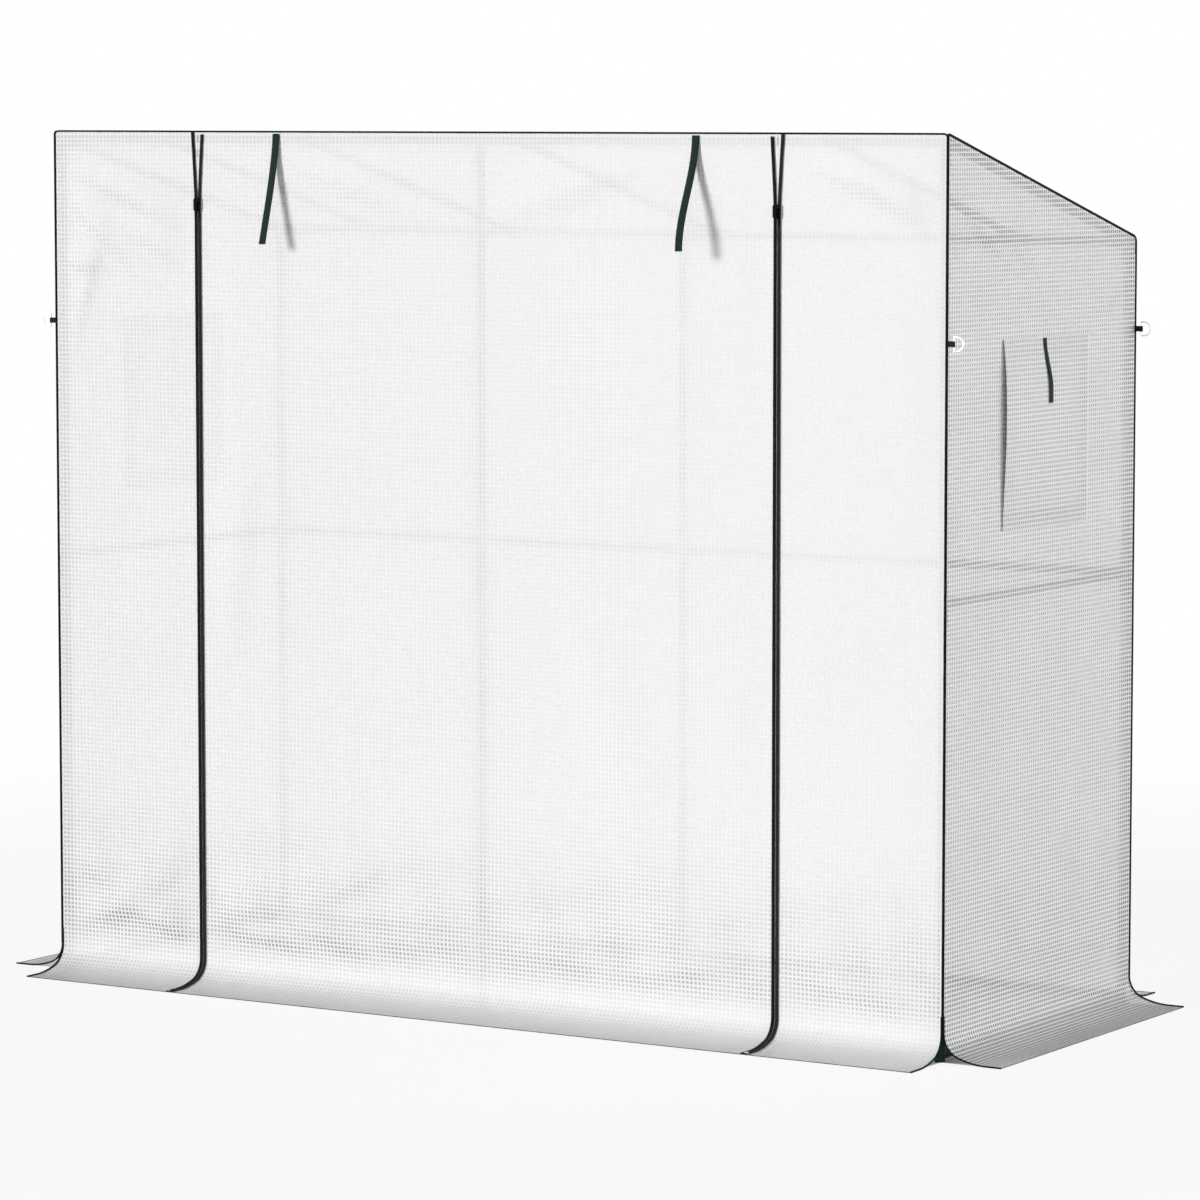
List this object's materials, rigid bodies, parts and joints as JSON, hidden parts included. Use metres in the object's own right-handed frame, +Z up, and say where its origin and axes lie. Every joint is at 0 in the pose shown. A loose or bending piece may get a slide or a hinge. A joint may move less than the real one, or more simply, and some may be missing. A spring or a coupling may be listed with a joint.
{
  "type": "tomato greenhouse",
  "caption": "Lean-to walk-in tomato greenhouse: tube frame under a gridded translucent cover with a falling roof, flared ground skirts, zipped roll-up door and side flap windows.",
  "frame": {"origin": "on the ground under the middle of the cover and its skirts", "axes": "+X along the front to the viewer's right, +Y from the front to the lower back, +Z up"},
  "size_m": [2.234, 1.004, 1.6807],
  "materials": {
    "tube_green": "dark green powder coat on thin steel tube",
    "connector_green": "moulded dark green plastic",
    "cover_sheet": "white translucent film reinforced with a 9 mm thread grid",
    "black_piping": "black woven binding over a cord",
    "zip_tape": "black woven zip tape with a moulded coil",
    "zip_hardware": "black enamelled slider and pull",
    "green_webbing": "dark green woven tape",
    "ring_white": "white moulded plastic",
    "window_net": "fine white insect net",
    "fastener_tape": "white hook and loop tape"
  },
  "bodies": {
    "greenhouse": {"back_bottom_rails": "tube_green", "back_centre_post_lower": "tube_green", "back_centre_post_upper": "tube_green", "back_left_post_lower": "tube_green", "back_left_post_upper": "tube_green", "back_mid_rails": "tube_green", "back_panel": "cover_sheet", "back_right_post_lower": "tube_green", "back_right_post_upper": "tube_green", "back_top_rails": "tube_green", "bottom_back_connectors": "connector_green", "bottom_front_connectors": "connector_green", "edge_piping": "black_piping", "frame_zip_tapes": "zip_tape", "front_centre_post_lower": "tube_green", "front_centre_post_upper": "tube_green", "front_left_panel": "cover_sheet", "front_left_post_lower": "tube_green", "front_left_post_upper": "tube_green", "front_right_panel": "cover_sheet", "front_right_post_lower": "tube_green", "front_right_post_upper": "tube_green", "front_top_rails": "tube_green", "guy_tabs": "green_webbing", "inner_roof_bars": "tube_green", "left_bottom_rail": "tube_green", "left_mid_rail": "tube_green", "left_roof_bar": "tube_green", "left_side_panel": "cover_sheet", "mid_back_connectors": "connector_green", "mid_front_connectors": "connector_green", "right_bottom_rail": "tube_green", "right_mid_rail": "tube_green", "right_roof_bar": "tube_green", "right_side_panel": "cover_sheet", "roof_connectors": "connector_green", "roof_panel": "cover_sheet", "top_back_connectors": "connector_green", "top_front_connectors": "connector_green", "window_nets": "window_net", "window_trim": "fastener_tape", "zip_end_stops": "zip_hardware"},
    "door": {"door_panel": "cover_sheet", "door_zip_tapes": "zip_tape"},
    "left_zip_slider": {"left_zip_slider": "zip_hardware"},
    "left_zip_pull": {"left_zip_pull": "zip_hardware"},
    "left_door_tie": {"left_door_tie": "green_webbing"},
    "left_window": {"left_window_flap": "cover_sheet", "left_window_hook_strips": "fastener_tape"},
    "left_window_tie": {"left_window_tie": "green_webbing"},
    "right_zip_slider": {"right_zip_slider": "zip_hardware"},
    "right_zip_pull": {"right_zip_pull": "zip_hardware"},
    "right_door_tie": {"right_door_tie": "green_webbing"},
    "right_window": {"right_window_flap": "cover_sheet", "right_window_hook_strips": "fastener_tape"},
    "right_window_tie": {"right_window_tie": "green_webbing"},
    "front_left_guy_ring": {"front_left_guy_ring": "ring_white"},
    "front_right_guy_ring": {"front_right_guy_ring": "ring_white"},
    "back_left_guy_ring": {"back_left_guy_ring": "ring_white"},
    "back_right_guy_ring": {"back_right_guy_ring": "ring_white"}
  },
  "joints": [
    {"name": "door_lift", "type": "hinge", "parent": "greenhouse", "child": "door", "pos_m": [0, -0.385, 1.67641], "axis": [-1, 0, 0], "range_deg": [0, 95]},
    {"name": "left_zip_slide", "type": "slide", "parent": "door", "child": "left_zip_slider", "axis": [0, 0, 1], "range_m": [-1.44, 0.1]},
    {"name": "left_zip_pull_swing", "type": "hinge", "parent": "left_zip_slider", "child": "left_zip_pull", "pos_m": [-0.65, -0.3928, 1.541], "axis": [-1, 0, 0], "range_deg": [0, 150]},
    {"name": "left_door_tie_swing", "type": "hinge", "parent": "door", "child": "left_door_tie", "pos_m": [-0.474, -0.3861, 1.67441], "axis": [-1, 0, 0], "range_deg": [-6, 60]},
    {"name": "left_window_lift", "type": "hinge", "parent": "greenhouse", "child": "left_window", "pos_m": [-1.0025, 0.007, 1.303], "axis": [0, 1, 0], "range_deg": [0, 100]},
    {"name": "left_window_tie_swing", "type": "hinge", "parent": "left_window", "child": "left_window_tie", "pos_m": [-1.0041, 0.007, 1.301], "axis": [0, 1, 0], "range_deg": [0, 60]},
    {"name": "right_zip_slide", "type": "slide", "parent": "door", "child": "right_zip_slider", "axis": [0, 0, 1], "range_m": [-1.44, 0.1]},
    {"name": "right_zip_pull_swing", "type": "hinge", "parent": "right_zip_slider", "child": "right_zip_pull", "pos_m": [0.65, -0.3928, 1.541], "axis": [-1, 0, 0], "range_deg": [0, 150]},
    {"name": "right_door_tie_swing", "type": "hinge", "parent": "door", "child": "right_door_tie", "pos_m": [0.474, -0.3861, 1.67441], "axis": [-1, 0, 0], "range_deg": [-6, 60]},
    {"name": "right_window_lift", "type": "hinge", "parent": "greenhouse", "child": "right_window", "pos_m": [1.0025, 0.007, 1.303], "axis": [0, -1, 0], "range_deg": [0, 100]},
    {"name": "right_window_tie_swing", "type": "hinge", "parent": "right_window", "child": "right_window_tie", "pos_m": [1.0041, 0.007, 1.301], "axis": [0, -1, 0], "range_deg": [0, 60]},
    {"name": "front_left_ring_swing", "type": "hinge", "parent": "greenhouse", "child": "front_left_guy_ring", "pos_m": [-1.013, -0.384, 1.304], "axis": [0, 0, 1], "range_deg": [-95, 95]},
    {"name": "front_right_ring_swing", "type": "hinge", "parent": "greenhouse", "child": "front_right_guy_ring", "pos_m": [1.013, -0.384, 1.304], "axis": [0, 0, 1], "range_deg": [-95, 95]},
    {"name": "back_left_ring_swing", "type": "hinge", "parent": "greenhouse", "child": "back_left_guy_ring", "pos_m": [-1.013, 0.384, 1.304], "axis": [0, 0, 1], "range_deg": [-95, 95]},
    {"name": "back_right_ring_swing", "type": "hinge", "parent": "greenhouse", "child": "back_right_guy_ring", "pos_m": [1.013, 0.384, 1.304], "axis": [0, 0, 1], "range_deg": [-95, 95]}
  ]
}
